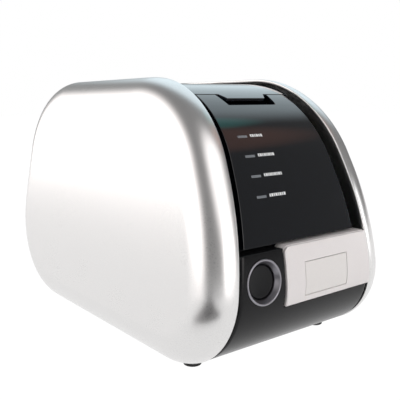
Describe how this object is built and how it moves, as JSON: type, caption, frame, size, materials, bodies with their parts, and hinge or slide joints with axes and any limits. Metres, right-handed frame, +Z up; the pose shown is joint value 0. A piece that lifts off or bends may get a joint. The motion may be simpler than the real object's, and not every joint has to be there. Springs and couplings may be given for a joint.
{
  "type": "dental imaging plate scanner",
  "caption": "Desktop dental imaging-plate scanner with hinged top lid over the feed slot, output tray, power button and status lamps between two rounded side covers.",
  "frame": {"origin": "on the table, under the middle of the bounding box", "axes": "front faces -Y, +X to the right of a person facing the front, +Z up"},
  "size_m": [0.2278, 0.3715, 0.2452],
  "materials": {
    "silver_paint": "satin pearl silver paint on moulded ABS",
    "tray_silver": "satin metallic silver paint on moulded ABS",
    "black_gloss": "high-gloss black moulded ABS",
    "black_satin": "fine-textured black ABS",
    "switch_black": "moulded black nylon",
    "lens_grey": "smoked grey light pipe",
    "rubber": "black rubber",
    "roller_rubber": "ground grey roller rubber",
    "foam": "black felt or foam",
    "sheet_steel": "zinc-plated sheet",
    "shaft_steel": "ground steel",
    "screw_steel": "zinc-plated screws",
    "bush_brass": "turned brass",
    "pulley_aluminium": "machined",
    "motor_black": "black painted steel",
    "mirror_facets": "polished facets",
    "clear_glass": "optical glass",
    "circuit_board": "green solder mask"
  },
  "bodies": {
    "frame": {"base_pan": "black_satin", "board_spacers": "bush_brass", "button_ring": "tray_silver", "button_switch": "switch_black", "cover_screws": "screw_steel", "cross_bars": "shaft_steel", "drive_belt": "rubber", "erase_lamp": "circuit_board", "fan_frame": "switch_black", "front_guide": "sheet_steel", "front_pad": "black_gloss", "lamp_board": "circuit_board", "laser_module": "bush_brass", "left_frame_plate": "sheet_steel", "left_side_cover": "silver_paint", "lid_hinge_pins": "shaft_steel", "lid_seal": "foam", "lid_switch": "switch_black", "light_guide": "clear_glass", "lower_front_panel": "black_gloss", "main_board": "circuit_board", "optics_bench": "pulley_aluminium", "photomultiplier": "motor_black", "polygon_motor": "motor_black", "power_inlet": "switch_black", "power_supply": "sheet_steel", "rear_guide": "sheet_steel", "rear_panel": "black_satin", "right_frame_plate": "sheet_steel", "right_side_cover": "silver_paint", "rocker_switch_body": "switch_black", "rubber_feet": "rubber", "scan_lens": "clear_glass", "shaft_bushes": "bush_brass", "status_lenses": "lens_grey", "stepper_motor": "motor_black", "top_deck": "black_satin", "top_rear_cover": "black_gloss", "tray_rails": "sheet_steel", "upper_front_frame": "black_satin", "usb_socket": "shaft_steel"},
    "lid_body": {"lid": "black_gloss"},
    "tray": {"tray_front": "tray_silver", "tray_inlay": "tray_silver", "tray_box": "black_satin", "tray_liner": "foam"},
    "button": {"power_button": "black_gloss"},
    "rocker": {"rocker_paddle": "switch_black"},
    "upper_drive": {"upper_drive_roller": "roller_rubber", "upper_drive_pulley": "pulley_aluminium"},
    "lower_drive": {"lower_drive_roller": "roller_rubber", "lower_drive_pulley": "pulley_aluminium"},
    "upper_idler": {"upper_idler_roller": "roller_rubber"},
    "lower_idler": {"lower_idler_roller": "roller_rubber"},
    "motor_rotor": {"motor_shaft": "shaft_steel", "motor_pulley": "pulley_aluminium"},
    "mirror_wheel": {"polygon_mirror": "mirror_facets"},
    "fan_wheel": {"fan_rotor": "switch_black"}
  },
  "joints": [
    {"name": "lid_hinge", "type": "hinge", "parent": "frame", "child": "lid_body", "pos_m": [0, 0.02, 0.23098], "axis": [-1, 0, 0], "range_deg": [0, 85]},
    {"name": "tray_slide", "type": "slide", "parent": "frame", "child": "tray", "axis": [0, -1, 0], "range_m": [0, 0.095]},
    {"name": "power_button_press", "type": "slide", "parent": "frame", "child": "button", "axis": [0, 0.9941, -0.108], "range_m": [0, 0.002], "stiffness_N_per_m": 500},
    {"name": "rocker_turn", "type": "hinge", "parent": "frame", "child": "rocker", "pos_m": [-0.014, 0.17317, 0.1414], "axis": [-1, 0, 0], "range_deg": [0, 18]},
    {"name": "upper_drive_spin", "type": "hinge", "parent": "frame", "child": "upper_drive", "pos_m": [0.012, -0.0467, 0.188], "axis": [1, 0, 0], "continuous": true},
    {"name": "lower_drive_spin", "type": "hinge", "parent": "frame", "child": "lower_drive", "pos_m": [0.012, -0.0467, 0.132], "axis": [1, 0, 0], "continuous": true},
    {"name": "upper_idler_spin", "type": "hinge", "parent": "frame", "child": "upper_idler", "pos_m": [0.012, -0.0633, 0.188], "axis": [1, 0, 0], "continuous": true},
    {"name": "lower_idler_spin", "type": "hinge", "parent": "frame", "child": "lower_idler", "pos_m": [0.012, -0.0633, 0.132], "axis": [1, 0, 0], "continuous": true},
    {"name": "motor_spin", "type": "hinge", "parent": "frame", "child": "motor_rotor", "pos_m": [0.051, 0.016, 0.115], "axis": [1, 0, 0], "continuous": true},
    {"name": "mirror_spin", "type": "hinge", "parent": "frame", "child": "mirror_wheel", "pos_m": [0.01, 0.05, 0.164], "axis": [0, 0, 1], "continuous": true},
    {"name": "fan_spin", "type": "hinge", "parent": "frame", "child": "fan_wheel", "pos_m": [0.038, 0.17468, 0.13809], "axis": [0, 0.9888, 0.149], "continuous": true}
  ],
  "couplings": [
    {"joint": "lower_drive_spin", "follows": "upper_drive_spin", "ratio": 1},
    {"joint": "upper_idler_spin", "follows": "upper_drive_spin", "ratio": -1},
    {"joint": "lower_idler_spin", "follows": "upper_drive_spin", "ratio": -1},
    {"joint": "motor_spin", "follows": "upper_drive_spin", "ratio": 1.6667}
  ]
}
